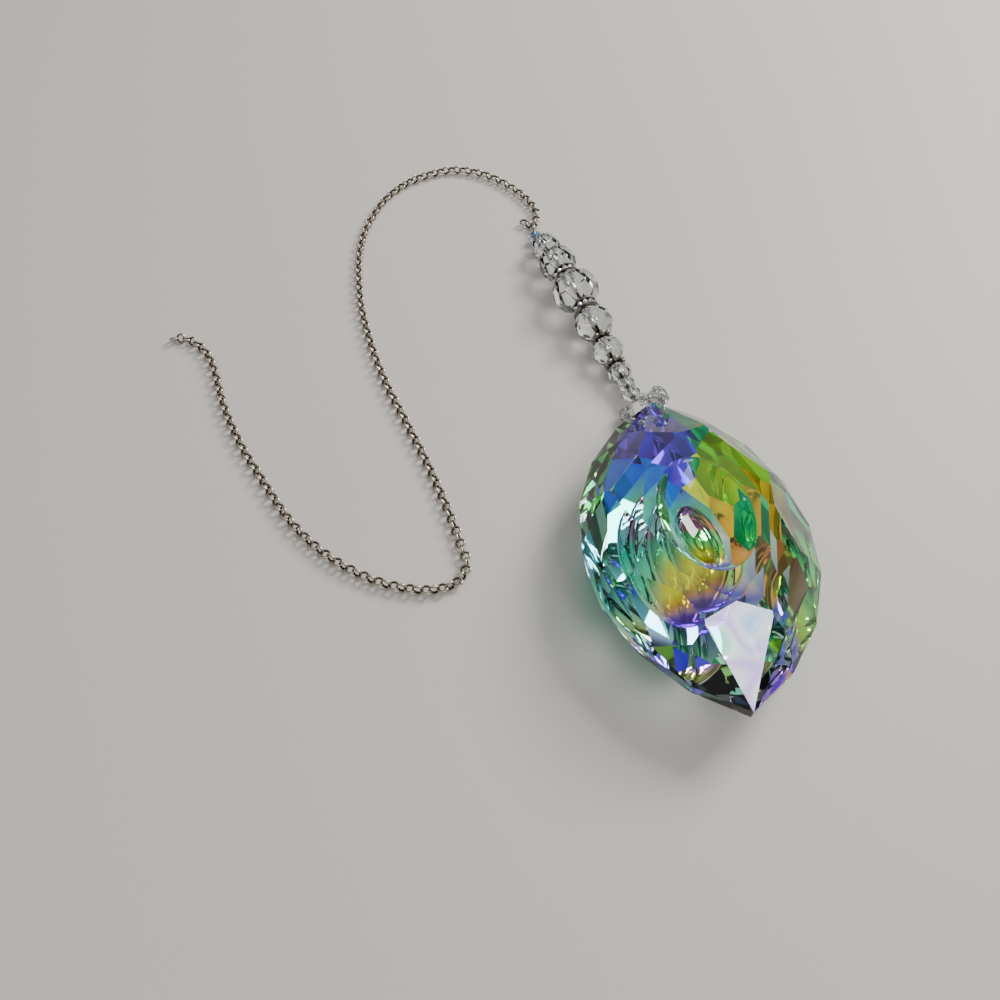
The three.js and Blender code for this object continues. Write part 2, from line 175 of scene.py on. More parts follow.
def aurora_coated_crystal():
    material, tree, shader = new_material(
        "aurora_coated_crystal", Transmission_Weight=1.0, IOR=1.56, Metallic=0.78, Roughness=0.03
    )
    colour = add_node(tree, "ShaderNodeVertexColor", layer_name="aurora").outputs["Color"]
    place = add_node(tree, "ShaderNodeTexCoord").outputs["Object"]
    # The layers are a little uneven over 8 mm or so, and a slanting look shifts their colour.
    layers = add_node(tree, "ShaderNodeTexNoise", {"Vector": place, "Scale": 120.0, "Detail": 1.0})
    tilt = add_node(tree, "ShaderNodeLayerWeight", {"Blend": 0.5}).outputs["Facing"]
    both = add_node(tree, "ShaderNodeMath", {0: layers.outputs["Fac"], 1: tilt}, operation="ADD")
    hue = add_node(
        tree,
        "ShaderNodeMapRange",
        {
            "Value": both.outputs[0],
            "From Min": 0.4, "From Max": 1.5, "To Min": 0.46, "To Max": 0.57,
        },
    ).outputs["Result"]
    shifted = add_node(
        tree,
        "ShaderNodeHueSaturation",
        {"Color": colour, "Hue": hue, "Saturation": 1.12, "Value": 1.3},
    )
    tree.links.new(shifted.outputs["Color"], shader.inputs["Base Color"])
    return material


def pearly_crystal():
    """The big tip facet's thin front coating: pastel patches a few millimetres wide."""
    material, tree, shader = new_material(
        "pearl_coated_crystal", Transmission_Weight=1.0, IOR=1.56, Metallic=0.25, Roughness=0.03
    )
    place = add_node(tree, "ShaderNodeTexCoord").outputs["Object"]
    patches = add_node(tree, "ShaderNodeTexNoise", {"Vector": place, "Scale": 120.0, "Detail": 0.0})
    pastel = add_node(tree, "ShaderNodeValToRGB", {"Fac": patches.outputs["Fac"]})
    set_ramp(
        pastel,
        [
            (0.32, "#7cc0ff"), (0.42, "#eaf2ff"), (0.52, "#cdb0fa"), (0.6, "#eefaf6"),
            (0.7, "#9cf0d2"),
        ],
    )
    tree.links.new(pastel.outputs["Color"], shader.inputs["Base Color"])
    return material


CRYSTAL_GLASS = polished_glass("polished_lead_crystal", "#fbfffd", 1.58)
COATED_CRYSTAL = aurora_coated_crystal()
PEARL_CRYSTAL = pearly_crystal()
print("the prism's glasses:", CRYSTAL_GLASS.name, COATED_CRYSTAL.name, PEARL_CRYSTAL.name)


# %% [markdown]
# ## The prism
#
# The real prism is pressed roughly and then ground on flat wheels, one plane at a time. The mesh is
# made the same way: a block is cut by one plane after another with bisect_plane, and each cut is
# closed with a new face. The outline is two equal arcs, so every plane is worked out from the arc.

# %% The prism's driving dimensions
LENGTH, WIDTH, THICKNESS = 76, 48, 22
HEADING = math.radians(-81.7)  # where the free tip points on the table
GIRDLE_HEIGHT = 2.4  # the upright band round the edge
CHORDS_A_SIDE = 8  # straight edges along each arc
TIP_SLOPE = 29  # slopes are in degrees from the table's plane
MAIN_SLOPES = (43, 41)  # at the waist, and at the tips
STAR_SLOPE = 25
STAR_START, STAR_LIFT = 6.5, 1  # how far in a star begins, and how far above the main facets
END_STAR_SLOPE = 12  # the two stars beside each kite, which bring the table to a point
BREAK_SLOPES = (54, 40)
DISH = (27.5, 19, 6)  # length, width and depth of the oval dish in each table
DRILL_DIAMETER, DRILL_FROM_TIP = 2.4, 8.5

ARC_RADIUS = ((LENGTH / 2) ** 2 + (WIDTH / 2) ** 2) / WIDTH
ARC_SETBACK = ARC_RADIUS - WIDTH / 2
ARC_HALF_ANGLE = math.asin(LENGTH / 2 / ARC_RADIUS)
CHORD_ANGLE = 2 * ARC_HALF_ANGLE / CHORDS_A_SIDE
CHORD_RADIUS = ARC_RADIUS * math.cos(CHORD_ANGLE / 2)
# The table runs out to where the kites reach its height.
TABLE_REACH = LENGTH / 2 - (THICKNESS - GIRDLE_HEIGHT) / 2 / math.tan(math.radians(TIP_SLOPE))
crystal_place = (
    Matrix.Translation(middle_of("cut_crystal")) @ Matrix.Rotation(HEADING, 4, "Z")
)
print(f"arc radius {ARC_RADIUS:.2f} mm, with {CHORDS_A_SIDE} chords on each side")


# %% The planes of one side
def facet_plane(side, angle, slope, radius, height):
    lean = math.radians(slope)
    normal = Vector(
        (math.sin(angle) * math.sin(lean), side * math.cos(angle) * math.sin(lean), math.cos(lean))
    )
    out = radius - ARC_SETBACK * math.cos(angle)
    return normal, math.sin(lean) * out + math.cos(lean) * height


def slope_at(slopes, angle):
    return slopes[0] + (slopes[1] - slopes[0]) * (angle / ARC_HALF_ANGLE) ** 2


def crown_planes():
    """Every facet above the girdle: a name, its normal and its distance from the middle."""
    edge = GIRDLE_HEIGHT / 2
    planes = []
    for side, hand in ((1, "right"), (-1, "left")):
        for i in range(CHORDS_A_SIDE):
            angle = (i + 0.5) * CHORD_ANGLE - ARC_HALF_ANGLE
            slope = slope_at(BREAK_SLOPES, angle)
            plane = facet_plane(side, angle, slope, CHORD_RADIUS, edge)
            planes.append((f"break_{hand}_{i}", *plane))
        for corner in range(1, CHORDS_A_SIDE):
            angle = corner * CHORD_ANGLE - ARC_HALF_ANGLE
            main = slope_at(MAIN_SLOPES, angle)
            if corner % 2 == 0:
                plane = facet_plane(side, angle, main, ARC_RADIUS, edge)
                planes.append((f"main_{hand}_{corner}", *plane))
            elif corner in (1, CHORDS_A_SIDE - 1):
                lean = math.radians(END_STAR_SLOPE)
                normal = Vector((math.sin(angle), side * math.cos(angle), 0)) * math.sin(lean)
                normal.z = math.cos(lean)
                outward = math.sin(lean) * abs(math.sin(angle)) * TABLE_REACH
                distance = outward + normal.z * THICKNESS / 2
                planes.append((f"star_{hand}_{corner}", normal, distance))
            else:
                rise = STAR_START * math.tan(math.radians(main)) + STAR_LIFT
                plane = facet_plane(side, angle, STAR_SLOPE, ARC_RADIUS - STAR_START, edge + rise)
                planes.append((f"star_{hand}_{corner}", *plane))
    lean = math.radians(TIP_SLOPE)
    for end, name in ((1, "kite_tip"), (-1, "kite_drilled")):
        normal = Vector((end * math.sin(lean), 0, math.cos(lean)))
        planes.append((name, normal, math.sin(lean) * LENGTH / 2 + math.cos(lean) * edge))
    return planes


# %% Grinding one facet
ROUGH_ROOM = 4  # how much longer and wider the rough block is


def only(kind, geometry):
    """The parts of one kind, such as bmesh.types.BMEdge, out of mixed geometry."""
    return [part for part in geometry if isinstance(part, kind)]


def cut_facet(bm, normal, distance, label, names):
    """Cuts away what is beyond a plane and closes the cut with a face that carries the label."""
    layer = bm.faces.layers.int["facet"]
    everything = bm.verts[:] + bm.edges[:] + bm.faces[:]
    cut = bmesh.ops.bisect_plane(
        bm, geom=everything, dist=1e-5, plane_co=normal * distance, plane_no=normal,
        clear_outer=True,
    )
    rim = only(bmesh.types.BMEdge, cut["geom_cut"])
    names.append(label)
    for face in bmesh.ops.contextual_create(bm, geom=rim)["faces"]:
        face[layer] = len(names) - 1


def ground_block():
    """The prism without its dishes and hole, and the names of its facets by number."""
    bm = bmesh.new()
    bm.faces.layers.int.new("facet")
    block = Matrix.Diagonal((LENGTH + ROUGH_ROOM, WIDTH + ROUGH_ROOM, THICKNESS, 1))
    bmesh.ops.create_cube(bm, size=1, matrix=block)
    names = ["table"]
    for side in (1, -1):
        for i in range(CHORDS_A_SIDE):
            angle = (i + 0.5) * CHORD_ANGLE - ARC_HALF_ANGLE
            cut_facet(bm, *facet_plane(side, angle, 90, CHORD_RADIUS, 0), "girdle", names)
    for label, normal, distance in crown_planes():
        cut_facet(bm, normal, distance, "front_" + label, names)
        mirrored = Vector((normal.x, normal.y, -normal.z))
        cut_facet(bm, mirrored, distance, "back_" + label, names)
    return bm, names


# %% Grinding the dishes and drilling the hole
DISH_SHARE = 0.82  # how deep the table cuts the dish's ellipsoid, which sets how steep the rim is
DISH_RIM_POINTS = 96
DISH_ROWS = 14
DRILL_SIDES = 24


def edges_round(faces):
    """The edges of these faces that only one of them has."""
    edges = [edge for face in faces for edge in face.edges]
    return [edge for edge in set(edges) if edges.count(edge) == 1]


def fill_round(bm, faces, ring_edges):
    """Replaces flat faces by a fill with a hole where the ring is."""
    rim = edges_round(faces)
    normal = faces[0].normal.copy()
    label = faces[0][bm.faces.layers.int["facet"]]
    bmesh.ops.delete(bm, geom=faces, context="FACES_ONLY")
    filled = bmesh.ops.triangle_fill(bm, use_beauty=True, edges=rim + ring_edges, normal=normal)
    for face in only(bmesh.types.BMFace, filled["geom"]):
        face[bm.faces.layers.int["facet"]] = label


def grind_dish(bm, up, names, label):
    """An oval dish, an ellipsoid's cap, ground into the table on the `up` side."""
    length, width, depth = DISH
    level = up * THICKNESS / 2
    tables = [f for f in bm.faces if f.normal.z * up > 0.999]
    oval = Matrix.Translation((0, 0, level)) @ Matrix.Diagonal((length / 2, width / 2, 1, 1))
    ring = bmesh.ops.create_circle(bm, segments=DISH_RIM_POINTS, radius=1, matrix=oval)["verts"]
    ring_edges = list({edge for vert in ring for edge in vert.link_edges})
    fill_round(bm, tables, ring_edges)
    names.append(label)
    layer = bm.faces.layers.int["facet"]
    rim_angle = math.acos(DISH_SHARE)
    radius = depth / (1 - DISH_SHARE)
    edges, size_now, depth_now = ring_edges, 1.0, 0.0
    for row in range(1, DISH_ROWS + 1):
        angle = rim_angle * (1 - row / DISH_ROWS)
        share = math.sin(angle) / math.sin(rim_angle)
        sunk = radius * (math.cos(angle) - DISH_SHARE)
        grown = bmesh.ops.extrude_edge_only(bm, edges=edges)["geom"]
        verts = only(bmesh.types.BMVert, grown)
        edges = only(bmesh.types.BMEdge, grown)
        edges = [edge for edge in edges if edge.verts[0] in verts and edge.verts[1] in verts]
        for face in only(bmesh.types.BMFace, grown):
            face[layer] = len(names) - 1
            face.smooth = True
        bmesh.ops.translate(bm, vec=(0, 0, -up * (sunk - depth_now)), verts=verts)
        if row < DISH_ROWS:
            factor = share / size_now
            bmesh.ops.scale(bm, vec=(factor, factor, 1), verts=verts)
        else:
            bmesh.ops.pointmerge(bm, verts=verts, merge_co=(0, 0, level - up * depth))
        size_now, depth_now = share, sunk


def drill_hole(bm, names):
    """A round hole through both kites at the drilled end."""
    across = DRILL_FROM_TIP - LENGTH / 2
    lean = math.radians(TIP_SLOPE)
    rings = []
    for up in (1, -1):
        label = ("front_" if up > 0 else "back_") + "kite_drilled"
        layer = bm.faces.layers.int["facet"]
        kite = [face for face in bm.faces if names[face[layer]] == label]
        ring = bmesh.ops.create_circle(bm, segments=DRILL_SIDES, radius=DRILL_DIAMETER / 2)["verts"]
        for vert in ring:
            vert.co.x += across
            rise = math.tan(lean) * (vert.co.x + LENGTH / 2)
            vert.co.z = up * (GIRDLE_HEIGHT / 2 + rise)
        ring_edges = list({edge for vert in ring for edge in vert.link_edges})
        fill_round(bm, kite, ring_edges)
        rings += ring_edges
    names.append("drill")
    for face in bmesh.ops.bridge_loops(bm, edges=rings)["faces"]:
        face[bm.faces.layers.int["facet"]] = len(names) - 1
        face.smooth = True


# %% [markdown]
# ## The coating's colours
#
# Vacuum coating leaves layers of slightly uneven thickness, and every facet is tilted its own way,
# so neighbours come out violet, blue, lime, orange or teal. One colour is written for each coated
# facet, and the breaks and the kite that have none stay plain glass. The dish and the table round
# it have no facets, so their colour slides along the prism's length, as oil does on water.

# %% One colour for each coated facet
AURORA = {
    "back_kite_drilled": "#7a5ce0",
    "back_star_left_1": "#1d5cf0",
    "back_main_left_2": "#7bd4b8",
    "back_star_left_3": "#6fc09a",
    "back_main_left_4": "#2fc4a4",
    "back_star_left_5": "#4b7f78",
    "back_main_left_6": "#8fe0cb",
    "back_star_left_7": "#86a6ee",
    "back_star_right_1": "#c9e04e",
    "back_main_right_2": "#86e04a",
    "back_star_right_3": "#ffd84a",
    "back_main_right_4": "#3fd08c",
    "back_star_right_5": "#ffbe6a",
    "back_main_right_6": "#6fc39a",
    "back_star_right_7": "#9be8c4",
    "back_break_right_0": "#1fc886",
    "back_break_right_2": "#52e0b0",
    "back_break_left_4": "#4fd8d0",
    "back_break_right_5": "#b4e6c8",
    "back_break_left_1": "#6fb4ff",
}
# Stops along the dish and the table round it: millimetres towards the free tip, and a colour.
DISH_STOPS = [
    (-14, "#3a1c22"), (-8, "#8e1848"), (-4.5, "#cf1f80"), (-2.2, "#58c87c"), (1, "#74e68c"),
    (4, "#b0f654"), (7.5, "#f4fa44"), (10, "#fcd060"), (12, "#8a4fd0"),
]
TABLE_STOPS = [
    (-17, "#5f6ad0"), (-12, "#5cb88c"), (-7, "#4fb0a4"), (-2, "#e6e2c8"), (4, "#86d0c0"),
    (9, "#d9d0c0"), (13, "#6450c0"), (18, "#a0d8c8"),
]
# From a little left of the middle line the dish and the table turn towards one shade.
LEFT_SHADE = "#58c8d8"
SHADE_START, SHADE_SPREAD, SHADE_MOST = 4, 5, 0.7
UNCOATED = "#d4ece0"


def colour_along(stops, at):
    """The colour between the two stops on either side, in linear light."""
    if at <= stops[0][0]:
        return linear(stops[0][1])
    for (start, low), (end, high) in zip(stops, stops[1:]):
        if at < end:
            share = (at - start) / (end - start)
            return [a + (b - a) * share for a, b in zip(linear(low), linear(high))]
    return linear(stops[-1][1])


def coating_colour(name, place):
    """The aurora colour of a point on the back, by facet, and by place on the dish and table."""
    if name in AURORA:
        return linear(AURORA[name])
    if name in ("back_dish", "table"):
        colour = colour_along(DISH_STOPS if name == "back_dish" else TABLE_STOPS, place.x)
        share = min(max((-place.y - SHADE_START) / SHADE_SPREAD, 0), SHADE_MOST)
        return [a + (b - a) * share for a, b in zip(colour, linear(LEFT_SHADE))]
    return linear(UNCOATED)


# %% Cutting the whole prism
def cut_crystal():
    bm, names = ground_block()
    grind_dish(bm, 1, names, "front_dish")
    grind_dish(bm, -1, names, "back_dish")
    drill_hole(bm, names)
    bmesh.ops.recalc_face_normals(bm, faces=bm.faces)
    layer = bm.faces.layers.int["facet"]
    colours = bm.loops.layers.float_color.new("aurora")
    for face in bm.faces:
        name = names[face[layer]]
        behind = name.startswith("back_") or (name == "table" and face.normal.z < 0)
        bare = name.startswith(("back_break_", "back_kite_")) and name not in AURORA
        face.material_index = 1 if behind and not bare else 2 if name == "front_kite_tip" else 0
        for loop in face.loops:
            loop[colours] = (*coating_colour(name, loop.vert.co), 1)
    print(f"the prism has {len(set(names))} kinds of facet and {len(bm.faces)} faces")
    glasses = [CRYSTAL_GLASS, COATED_CRYSTAL, PEARL_CRYSTAL]
    finish_piece("almond_prism", bm, glasses, ["cut_crystal"], crystal_place)


cut_crystal()


# %% [markdown]
# ## The wire's route
#
# One soft nickel wire holds everything: an eye at the top, a stem through the beads, and a loop
# through the crystal's hole. The route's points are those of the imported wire. A centripetal
# Catmull-Rom curve passes through each of them without overshooting, so it stays in the holes.

# %% Smooth curves through points
# Which knots each round of blending runs between.
SPANS = {1: [(0, 1), (1, 2), (2, 3)], 2: [(0, 2), (1, 3)], 3: [(1, 2)]}


def curve_through(points, steps=40):
    """Close-set points along a smooth curve that passes through every given point."""
    points = [Vector(point) for point in points]
    line = [2 * points[0] - points[1], *points, 2 * points[-1] - points[-2]]
    walk = []
    for corners in zip(line, line[1:], line[2:], line[3:]):
        knots = [0.0]
        for a, b in zip(corners, corners[1:]):
            knots.append(knots[-1] + (b - a).length ** 0.5)
        for step in range(steps):
            at = knots[1] + (knots[2] - knots[1]) * step / steps
            level = list(corners)
            for reach in (1, 2, 3):
                level = [
                    level[i].lerp(level[i + 1], (at - knots[low]) / (knots[high] - knots[low]))
                    for i, (low, high) in enumerate(SPANS[reach])
                ]
            walk.append(level[0])
    return walk + [points[-1]]


def value_along(stations, at):
    """Reads a table of (station, value) pairs, in straight lines between them."""
    if at <= stations[0][0]:
        return stations[0][1]
    for (start, low), (end, high) in zip(stations, stations[1:]):
        if at < end:
            return low + (high - low) * (at - start) / (end - start)
    return stations[-1][1]


# %% The route through the beads and the loop
WIRE_DIAMETER = 0.6
EYE_PLACE, EYE_DIAMETER = Vector((20.75, 60.5, 1.6)), 2.5
STRAND_START, STRAND_HEADING = Vector((21.3, 56.6, 0)), math.radians(-70.2)
STRAND_HEIGHTS = [
    (-1.6, 1.7), (0, 2.1), (8, 3.9), (17, 5), (29.5, 5.7), (42, 4.9), (51, 3.9), (59, 3), (67, 2.8),
]
LOOP_OVER = [
    (44.1, -6.9, 3.0), (45.6, -7.9, 4.6), (46.3, -10.3, 6.6), (46.6, -12.6, 9.6),
    (46.9, -14.1, 13.2), (47.0, -16.6, 15.9), (47.0, -20.2, 17.5), (47.1, -22.5, 18.1),
]
LOOP_UNDER = [
    (46.6, -21.6, 2.8), (45.2, -18.9, 2.2), (43.2, -15.6, 2.1), (41.9, -12.4, 2.1),
    (41.9, -9.5, 2.3), (42.8, -7.7, 2.7),
]
along_strand = Vector((math.cos(STRAND_HEADING), math.sin(STRAND_HEADING), 0))
drill_centre = crystal_place @ Vector((DRILL_FROM_TIP - LENGTH / 2, 0, 0))
stem_points = [STRAND_START + along_strand * at + Vector((0, 0, up)) for at, up in STRAND_HEIGHTS]
eye_foot = EYE_PLACE - Vector((0, EYE_DIAMETER / 2, 0))


def in_drill(height):
    return Vector((drill_centre.x, drill_centre.y, height))


STEM = curve_through([eye_foot, *stem_points, LOOP_OVER[0]])
OVER = curve_through([*LOOP_OVER, in_drill(16), in_drill(11)])
UNDER = curve_through([in_drill(11), in_drill(5.4), *LOOP_UNDER, LOOP_OVER[0]])
print(f"the stem has {len(STEM)} points and the loop {len(OVER) + len(UNDER)}")


def threaded_place(node, route):
    """A piece's place on the wire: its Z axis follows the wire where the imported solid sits."""
    centre = middle_of(node)
    nearest = min(range(1, len(route) - 1), key=lambda i: (route[i] - centre).length)
    direction = (route[nearest + 1] - route[nearest - 1]).normalized()
    turn = Vector((0, 0, 1)).rotation_difference(direction)
    return Matrix.Translation(centre) @ turn.to_matrix().to_4x4()


# %% [markdown]
# ## The metals
#
# The spacers are a cast zinc alloy, plated and then antiqued: a black patina is rubbed off again
# everywhere a cloth can reach, so bright tops stand against dark hollows. The chain is antiqued
# nickel over steel, warmer and duller, and the inner sides of its links carry painted shade as well
# as patina. A metal keeps the default IOR; its colour is its mirror colour, and a fine noise breaks
# up the roughness as handling does.

# %% Antiqued and plain metals
def worn_metal(name, bright, dark, roughness, grain_mm, attribute=None, bump=0.0):
    """Metal whose patina lies where a noise, or the attribute, leaves it; on the chain the attribute is
    also painted shade.
    """
    material, tree, shader = new_material(name, Metallic=1.0)
    place = add_node(tree, "ShaderNodeTexCoord").outputs["Object"]
    scale = 1 / (grain_mm * MM)
    grain = add_node(tree, "ShaderNodeTexNoise", {"Vector": place, "Scale": scale, "Detail": 4.0})
    shade = grain.outputs["Fac"]
    if attribute:
        reach = add_node(tree, "ShaderNodeVertexColor", layer_name=attribute).outputs["Color"]
        mixed = add_node(tree, "ShaderNodeMath", {0: shade, 1: 0.35}, operation="MULTIPLY")
        added = add_node(tree, "ShaderNodeMath", {0: reach, 1: mixed.outputs[0]}, operation="ADD")
        shade = added.outputs[0]
    ramp = add_node(tree, "ShaderNodeValToRGB", {"Fac": shade})
    set_ramp(ramp, [(0.3, dark), (0.7, bright)])
    tree.links.new(ramp.outputs["Color"], shader.inputs["Base Color"])
    spread = add_node(
        tree,
        "ShaderNodeMapRange",
        {"Value": grain.outputs["Fac"], "To Min": roughness - 0.08, "To Max": roughness + 0.1},
    )
    tree.links.new(spread.outputs["Result"], shader.inputs["Roughness"])
    if bump:
        relief = add_node(
            tree,
            "ShaderNodeBump",
            {"Height": grain.outputs["Fac"], "Strength": bump, "Distance": 0.05 * MM},
        )
        tree.links.new(relief.outputs["Normal"], shader.inputs["Normal"])
    return material


BEAD_GLASS = polished_glass("clear_cut_glass", "#eceeee", 1.54)
AURORA_BEAD = polished_glass("aurora_coated_bead_glass", "#a9ccff", 1.56, film=330)
ANTIQUE_SILVER = worn_metal("antiqued_silver_plate", "#a09a90", "#1d1b19", 0.28, 0.5, "wear_and_shade", 0.5)
NICKEL_WIRE = worn_metal("soft_nickel_wire", "#d2cfc9", "#8d8983", 0.24, 0.35)
# The chain's dark colour is patina, and on the inner sides of its links also painted shade.
SHADED_ANTIQUE_NICKEL = worn_metal("antiqued_nickel_chain_with_painted_shade", "#c9bcaa", "#2a241f", 0.24, 0.6, "wear_and_shade")


def foil_backed_stone():
    """Cut glass over silver foil: it sends nearly all light back, so the shader is near a mirror."""
    material, tree, shader = new_material("foil_backed_stone", Metallic=0.9, Roughness=0.06)
    place = add_node(tree, "ShaderNodeTexCoord").outputs["Object"]
    fire = add_node(tree, "ShaderNodeTexNoise", {"Vector": place, "Scale": 900.0, "Detail": 1.0})
    tint = add_node(tree, "ShaderNodeValToRGB", {"Fac": fire.outputs["Fac"]})
    set_ramp(tint, [(0.35, "#c6ccd6"), (0.65, "#fffdf8")])
    tree.links.new(tint.outputs["Color"], shader.inputs["Base Color"])
    return material


STONE = foil_backed_stone()
print("the metals:", ANTIQUE_SILVER.name, NICKEL_WIRE.name, SHADED_ANTIQUE_NICKEL.name)


# %% [markdown]
# ## The glass beads
#
# A cut bead is a glass blank ground on a wheel in rows of facets: a belt around the middle and one
# or two rows towards each hole. So it is cut here as the prism was: one bisected plane for each
# facet, then a drilled tunnel that joins the two end flats. Real clear glass shows its tunnel as
# two dark lines, and that only works if the hole is really there.

# %% Cutting one bead
BEAD_HOLE = 1.5
HOLE_SIDES = 16
BLANK_ROOM = 1.1  # how much wider the blank is than the bead
END_SHARE = 0.93  # where along its half length the end flats cut the bead's ellipsoid


def cut_bead(name, route, size, sides, latitudes, material, slot, hole=BEAD_HOLE):
    diameter, length = size
    bm = bmesh.new()
    layer = bm.faces.layers.int.new("facet")
    block = Matrix.Diagonal((diameter * BLANK_ROOM, diameter * BLANK_ROOM, length, 1))
    bmesh.ops.create_cube(bm, size=1, matrix=block)
    names = ["end"]
    corner_room = math.cos(math.pi / sides)
    half_length = length / 2 / END_SHARE
    for row, latitude in enumerate(latitudes):
        lean = math.radians(latitude)
        across = diameter / 2 * corner_room * math.cos(lean)
        distance = math.hypot(across, half_length * math.sin(lean))
        for i in range(sides):
            turn = (i + 0.5 * ((row + 1) % 2)) * 2 * math.pi / sides
            for up in (1, -1) if latitude else (1,):
                flat = math.cos(lean)
                around = (math.cos(turn) * flat, math.sin(turn) * flat)
                normal = Vector((*around, up * math.sin(lean)))
                cut_facet(bm, normal, distance, f"row_{row}", names)
    rings = []
    for up in (1, -1):
        flats = [face for face in bm.faces if names[face[layer]] == "end"]
        ends = [face for face in flats if face.normal.z * up > 0.99]
        middle = Matrix.Translation((0, 0, up * length / 2))
        ring = bmesh.ops.create_circle(bm, segments=HOLE_SIDES, radius=hole / 2, matrix=middle)["verts"]
        ring_edges = list({edge for vert in ring for edge in vert.link_edges})
        fill_round(bm, ends, ring_edges)
        rings += ring_edges
    for face in bmesh.ops.bridge_loops(bm, edges=rings)["faces"]:
        face.smooth = True
    bmesh.ops.recalc_face_normals(bm, faces=bm.faces)
    print(f"{name}: {len(bm.faces)} faces")
    finish_piece("cut_" + name, bm, [material], [name], threaded_place(name, route))


# %% The beads of the strand
ROUND_CUT = (8, (0, 38))
OVAL_CUT = (10, (0, 28, 54))
SMALL_CUT = (6, (0, 42))
BEADS = [
    ("bead_1_round_8mm", (8, 7.4), ROUND_CUT),
    ("bead_2_round_10mm", (10, 9), ROUND_CUT),
    ("bead_3_round_12mm", (12, 11), ROUND_CUT),
    ("bead_4_oval_10mm", (10, 8.2), OVAL_CUT),
    ("bead_5_oval_8mm", (8, 6.6), OVAL_CUT),
    ("bead_6_oval_6mm", (6, 4.4), (8, (0, 36))),
    ("bead_7_small", (4.6, 3.2), SMALL_CUT),
    ("bead_8_small", (4.6, 3.2), SMALL_CUT),
]
for name, size, (sides, latitudes) in BEADS:
    cut_bead(name, STEM, size, sides, latitudes, BEAD_GLASS, "clear_glass")
cut_bead("aurora_bead", STEM, (3.2, 2.8), 6, (0, 42), AURORA_BEAD, "aurora_glass")


# %% The small beads of the loop
LOOP_BEAD, LOOP_HOLE = (3.8, 3.4), 1.6
for branch, count, route in (("over", 4, OVER), ("under", 3, UNDER)):
    for i in range(1, count + 1):
        node = f"loop_bead_{branch}_{i}"
        cut_bead(node, route, LOOP_BEAD, *SMALL_CUT, BEAD_GLASS, "clear_glass", LOOP_HOLE)


# %% [markdown]
# ## The spacers
#
# A daisy spacer is cast in one piece: a ring with round petals, like a flower's. Balls set into a
# spun ring give the same shape. A rhinestone rondelle is two stamped flanges pressed over a row of
# foil-backed stones; its body is one spun profile, and each stone is a small cut cone.

# %% Spinning and painting wear
def spun(bm, outline, steps):
    """Turns an open or closed outline of (radius, height) pairs round Z, and closes the seam."""
    verts = [bm.verts.new((radius, 0, height)) for radius, height in outline]
    edges = [bm.edges.new((a, b)) for a, b in zip(verts, verts[1:] + verts[:1])]
    bmesh.ops.spin(
        bm, geom=verts + edges, cent=(0, 0, 0), axis=(0, 0, 1), angle=2 * math.pi, steps=steps,
        use_merge=True, use_duplicate=False,
    )


def paint_wear_and_shade(bm, wear_and_shade_share):
    """Stores how light each corner is, from 0 in the hollows to 1 outside: patina rubbed off, and on
    the chain painted shade as well.
    """
    wear_and_shade = bm.loops.layers.float_color.new("wear_and_shade")
    for face in bm.faces:
        for loop in face.loops:
            share = min(max(wear_and_shade_share(loop.vert.co), 0), 1)
            loop[wear_and_shade] = (share, share, share, 1)


# %% Daisy spacers
PETALS = 8
PETAL_SHARE = 0.135  # a petal's radius, as a share of the spacer's diameter
PETAL_SWELL = 1.02  # petals are a little wider than deep, so that neighbours join
PETAL_BITE = 1.7  # the ring ends this many petal radii in from the outside
HUB_SHARE, HUB_CROWN = 0.42, 0.1  # the ring's half height, and how far it bulges
SPACER_HOLE = 0.76  # the wire hole's radius, in both kinds of spacer


def cast_daisy(name, size):
    diameter, length = size
    bm = bmesh.new()
    ball = diameter * PETAL_SHARE
    for i in range(PETALS):
        turn = Matrix.Rotation((i + 0.5) * 2 * math.pi / PETALS, 4, "Z")
        stretch = Matrix.Diagonal((1, PETAL_SWELL, length / 2 / ball, 1))
        out = Matrix.Translation((diameter / 2 - ball, 0, 0)) @ stretch
        bmesh.ops.create_uvsphere(bm, u_segments=14, v_segments=10, radius=ball, matrix=turn @ out)
    hub = diameter / 2 - PETAL_BITE * ball
    half = length * HUB_SHARE
    ring = [
        (SPACER_HOLE, -half), (hub, -half), (hub + HUB_CROWN, 0), (hub, half), (SPACER_HOLE, half),
    ]
    spun(bm, ring, 40)
    bmesh.ops.recalc_face_normals(bm, faces=bm.faces)
    for face in bm.faces:
        face.smooth = True
    paint_wear_and_shade(bm, lambda co: 0.1 + 0.75 * (math.hypot(co.x, co.y) - hub) / (diameter / 2 - hub))
    place = threaded_place(name, STEM)
    finish_piece("cast_" + name, bm, [ANTIQUE_SILVER], [name], place)


for name, size in (
    ("daisy_spacer_top", (4.2, 1.1)),
    ("daisy_spacer_middle", (6, 1.3)),
    ("daisy_spacer_lower", (6, 1.3)),
):
    cast_daisy(name, size)
print("three daisy spacers of", PETALS, "petals")


# %% Rhinestone rondelles and their stones
RONDELLE = (7.2, 2.1)
FLANGE, LIP = 0.32, 0.12  # the flange's thickness, and how far its edge is rounded
BAND_DEPTH = 0.7  # how far the band between the flanges sits in
STONES = 12
STONE_BACK, STONE_FACE, STONE_DEPTH = 0.7, 0.36, 0.5  # two radii and the height of a cut cone
STONE_SEAT = 0.42  # how far out of the band a stone's middle sits


